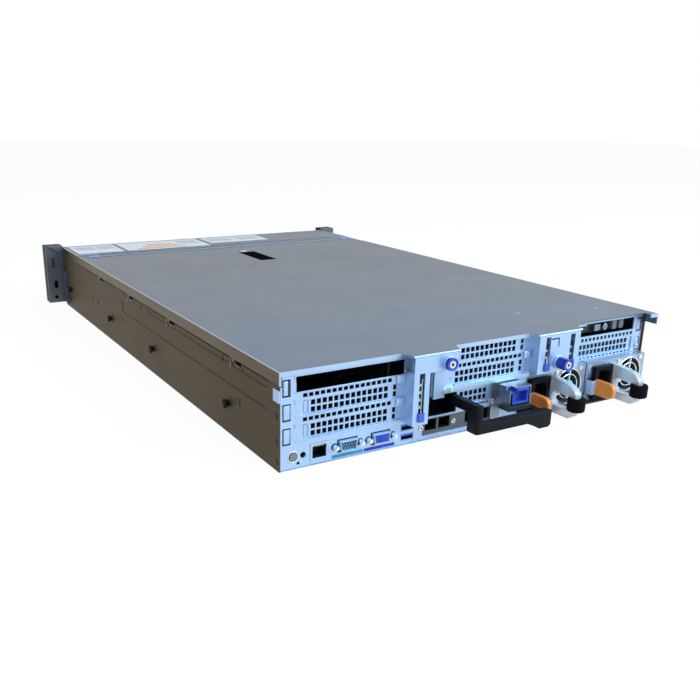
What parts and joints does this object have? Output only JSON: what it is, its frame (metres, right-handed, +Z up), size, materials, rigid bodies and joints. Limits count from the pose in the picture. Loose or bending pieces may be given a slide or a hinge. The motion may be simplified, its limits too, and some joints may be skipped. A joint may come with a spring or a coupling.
{
  "type": "2u rack server",
  "caption": "Two-unit rack server with a sliding top cover, perforated rear wall, hot-plug supplies with loop grips, drive carriers, fans and a low rear handle.",
  "frame": {"origin": "middle of the whole server's box at the underside of the chassis floor", "axes": "+Z up, -Y towards the front with the drives, +Y towards the rear wall with the ports"},
  "size_m": [0.482, 0.7376, 0.086],
  "materials": {
    "chassis_steel": "satin galvanised sheet",
    "cover_steel": "satin pale sheet",
    "bright_steel": "plain plated steel",
    "black_plastic": "matt moulded",
    "blue_plastic": "matt moulded",
    "orange_plastic": "matt moulded",
    "clear_grey_plastic": "translucent grey",
    "grey_plastic": "matt moulded",
    "circuit_board": "coated board",
    "fin_aluminium": "milled fins",
    "strap_fabric": "woven hook-and-loop tape"
  },
  "bodies": {
    "chassis": {"chassis_base": "chassis_steel", "rear_panel": "bright_steel", "slot_covers": "bright_steel", "riser_bracket_1": "bright_steel", "riser_bracket_2": "bright_steel", "io_connectors": "bright_steel", "network_card": "bright_steel", "handle_bracket": "bright_steel", "front_top_cover": "cover_steel", "drive_cage": "chassis_steel", "drive_backplane": "circuit_board", "drive_blanks": "grey_plastic", "fan_cage": "black_plastic", "motherboard": "circuit_board", "heatsinks": "fin_aluminium", "memory_modules": "circuit_board", "air_shroud": "black_plastic", "riser_cards": "circuit_board", "rack_ears": "bright_steel", "status_panel": "black_plastic", "control_panel": "black_plastic", "side_fasteners": "bright_steel"},
    "cover": {"top_cover": "cover_steel"},
    "cover_lever": {"cover_latch_lever": "black_plastic"},
    "cover_lock": {"cover_latch_lock": "bright_steel"},
    "carrier_1": {"drive_carrier_1": "grey_plastic"},
    "carrier_lever_1": {"carrier_lever_1": "black_plastic"},
    "carrier_2": {"drive_carrier_2": "grey_plastic"},
    "carrier_lever_2": {"carrier_lever_2": "black_plastic"},
    "carrier_3": {"drive_carrier_3": "grey_plastic"},
    "carrier_lever_3": {"carrier_lever_3": "black_plastic"},
    "carrier_4": {"drive_carrier_4": "grey_plastic"},
    "carrier_lever_4": {"carrier_lever_4": "black_plastic"},
    "slam_latch_right": {"slam_latch_right": "black_plastic"},
    "slam_latch_left": {"slam_latch_left": "black_plastic"},
    "power_button": {"power_button": "grey_plastic"},
    "id_button": {"id_button": "blue_plastic"},
    "card_latch_1": {"card_latch_1": "blue_plastic"},
    "card_latch_2": {"card_latch_2": "blue_plastic"},
    "card_latch_3": {"card_latch_3": "blue_plastic"},
    "riser_thumbscrew_1": {"riser_thumbscrew_1": "blue_plastic"},
    "riser_thumbscrew_2": {"riser_thumbscrew_2": "blue_plastic"},
    "rear_handle": {"rear_handle": "black_plastic"},
    "handle_latch": {"handle_latch": "blue_plastic"},
    "fan_rotor_1": {"fan_rotor_1": "black_plastic"},
    "fan_rotor_2": {"fan_rotor_2": "black_plastic"},
    "fan_rotor_3": {"fan_rotor_3": "black_plastic"},
    "fan_rotor_4": {"fan_rotor_4": "black_plastic"},
    "supply_1": {"supply_case_1": "bright_steel", "supply_inlet_1": "black_plastic", "supply_grip_1": "clear_grey_plastic", "supply_strap_1": "strap_fabric"},
    "supply_latch_1": {"supply_latch_1": "orange_plastic"},
    "supply_rotor_1": {"supply_rotor_1": "black_plastic"},
    "supply_2": {"supply_case_2": "bright_steel", "supply_inlet_2": "black_plastic", "supply_grip_2": "clear_grey_plastic", "supply_strap_2": "strap_fabric"},
    "supply_latch_2": {"supply_latch_2": "orange_plastic"},
    "supply_rotor_2": {"supply_rotor_2": "black_plastic"}
  },
  "joints": [
    {"name": "cover_slide", "type": "slide", "parent": "chassis", "child": "cover", "axis": [0, 1, 0], "range_m": [0, 0.014]},
    {"name": "cover_lever_lift", "type": "hinge", "parent": "cover", "child": "cover_lever", "pos_m": [-0.0045, -0.12795, 0.0794], "axis": [-1, 0, 0], "range_deg": [0, 90]},
    {"name": "cover_lock_turn", "type": "hinge", "parent": "cover", "child": "cover_lock", "pos_m": [-0.0045, -0.20195, 0.08], "axis": [0, 0, 1], "range_deg": [0, 90]},
    {"name": "carrier_slide_1", "type": "slide", "parent": "chassis", "child": "carrier_1", "axis": [0, -1, 0], "range_m": [0, 0.15]},
    {"name": "carrier_lever_swing_1", "type": "hinge", "parent": "carrier_1", "child": "carrier_lever_1", "pos_m": [0.2069, -0.35475, 0.0427], "axis": [0, 0, 1], "range_deg": [0, 50]},
    {"name": "carrier_slide_2", "type": "slide", "parent": "chassis", "child": "carrier_2", "axis": [0, -1, 0], "range_m": [0, 0.15]},
    {"name": "carrier_lever_swing_2", "type": "hinge", "parent": "carrier_2", "child": "carrier_lever_2", "pos_m": [0.1001, -0.35475, 0.0427], "axis": [0, 0, 1], "range_deg": [0, 50]},
    {"name": "carrier_slide_3", "type": "slide", "parent": "chassis", "child": "carrier_3", "axis": [0, -1, 0], "range_m": [0, 0.15]},
    {"name": "carrier_lever_swing_3", "type": "hinge", "parent": "carrier_3", "child": "carrier_lever_3", "pos_m": [-0.0067, -0.35475, 0.0427], "axis": [0, 0, 1], "range_deg": [0, 50]},
    {"name": "carrier_slide_4", "type": "slide", "parent": "chassis", "child": "carrier_4", "axis": [0, -1, 0], "range_m": [0, 0.15]},
    {"name": "carrier_lever_swing_4", "type": "hinge", "parent": "carrier_4", "child": "carrier_lever_4", "pos_m": [-0.1135, -0.35475, 0.0427], "axis": [0, 0, 1], "range_deg": [0, 50]},
    {"name": "slam_latch_swing_right", "type": "hinge", "parent": "chassis", "child": "slam_latch_right", "pos_m": [0.2348, -0.36625, 0.043], "axis": [0, 0, 1], "range_deg": [0, 40]},
    {"name": "slam_latch_swing_left", "type": "hinge", "parent": "chassis", "child": "slam_latch_left", "pos_m": [-0.2348, -0.36625, 0.043], "axis": [0, 0, -1], "range_deg": [0, 40]},
    {"name": "power_button_press", "type": "slide", "parent": "chassis", "child": "power_button", "axis": [0, 1, 0], "range_m": [0, 0.001], "stiffness_N_per_m": 400, "springref_m": -0.001},
    {"name": "id_button_press", "type": "slide", "parent": "chassis", "child": "id_button", "axis": [0, -1, 0], "range_m": [0, 0.001], "stiffness_N_per_m": 400, "springref_m": -0.001},
    {"name": "card_latch_swing_1", "type": "hinge", "parent": "chassis", "child": "card_latch_1", "pos_m": [0.089, 0.34095, 0.066], "axis": [1, 0, 0], "range_deg": [0, 38]},
    {"name": "card_latch_swing_2", "type": "hinge", "parent": "chassis", "child": "card_latch_2", "pos_m": [-0.0564, 0.33795, 0.077], "axis": [1, 0, 0], "range_deg": [0, 35]},
    {"name": "card_latch_swing_3", "type": "hinge", "parent": "chassis", "child": "card_latch_3", "pos_m": [-0.0874, 0.33795, 0.077], "axis": [1, 0, 0], "range_deg": [0, 35]},
    {"name": "riser_thumbscrew_turn_1", "type": "hinge", "parent": "chassis", "child": "riser_thumbscrew_1", "pos_m": [0.0623, 0.34605, 0.0737], "axis": [0, 1, 0], "range_deg": [0, 720]},
    {"name": "riser_thumbscrew_turn_2", "type": "hinge", "parent": "chassis", "child": "riser_thumbscrew_2", "pos_m": [-0.071, 0.34305, 0.0554], "axis": [0, 1, 0], "range_deg": [0, 720]},
    {"name": "rear_handle_slide", "type": "slide", "parent": "chassis", "child": "rear_handle", "axis": [0, 1, 0], "range_m": [0, 0.03]},
    {"name": "handle_latch_press", "type": "slide", "parent": "chassis", "child": "handle_latch", "axis": [0, -1, 0], "range_m": [0, 0.004], "stiffness_N_per_m": 500, "springref_m": -0.002},
    {"name": "fan_spin_1", "type": "hinge", "parent": "chassis", "child": "fan_rotor_1", "pos_m": [0.1605, -0.08295, 0.0377], "axis": [0, 1, 0], "continuous": true},
    {"name": "fan_spin_2", "type": "hinge", "parent": "chassis", "child": "fan_rotor_2", "pos_m": [0.0535, -0.08295, 0.0377], "axis": [0, 1, 0], "continuous": true},
    {"name": "fan_spin_3", "type": "hinge", "parent": "chassis", "child": "fan_rotor_3", "pos_m": [-0.0535, -0.08295, 0.0377], "axis": [0, 1, 0], "continuous": true},
    {"name": "fan_spin_4", "type": "hinge", "parent": "chassis", "child": "fan_rotor_4", "pos_m": [-0.1605, -0.08295, 0.0377], "axis": [0, 1, 0], "continuous": true},
    {"name": "supply_slide_1", "type": "slide", "parent": "chassis", "child": "supply_1", "axis": [0, 1, 0], "range_m": [0, 0.16]},
    {"name": "supply_latch_swing_1", "type": "hinge", "parent": "supply_1", "child": "supply_latch_1", "pos_m": [-0.046, 0.28605, 0.01675], "axis": [0, 0, 1], "range_deg": [0, 4], "stiffness_Nm_per_rad": 0.4, "springref_deg": -1.15},
    {"name": "supply_fan_spin_1", "type": "hinge", "parent": "supply_1", "child": "supply_rotor_1", "pos_m": [-0.1054, 0.31205, 0.02139], "axis": [0, 1, 0], "continuous": true},
    {"name": "supply_slide_2", "type": "slide", "parent": "chassis", "child": "supply_2", "axis": [0, 1, 0], "range_m": [0, 0.16]},
    {"name": "supply_latch_swing_2", "type": "hinge", "parent": "supply_2", "child": "supply_latch_2", "pos_m": [-0.1323, 0.28605, 0.01675], "axis": [0, 0, 1], "range_deg": [0, 4], "stiffness_Nm_per_rad": 0.4, "springref_deg": -1.15},
    {"name": "supply_fan_spin_2", "type": "hinge", "parent": "supply_2", "child": "supply_rotor_2", "pos_m": [-0.1917, 0.31205, 0.02139], "axis": [0, 1, 0], "continuous": true}
  ],
  "couplings": [
    {"joint": "cover_lever_lift", "follows": "cover_slide", "rad_per_m": 112.19}
  ]
}
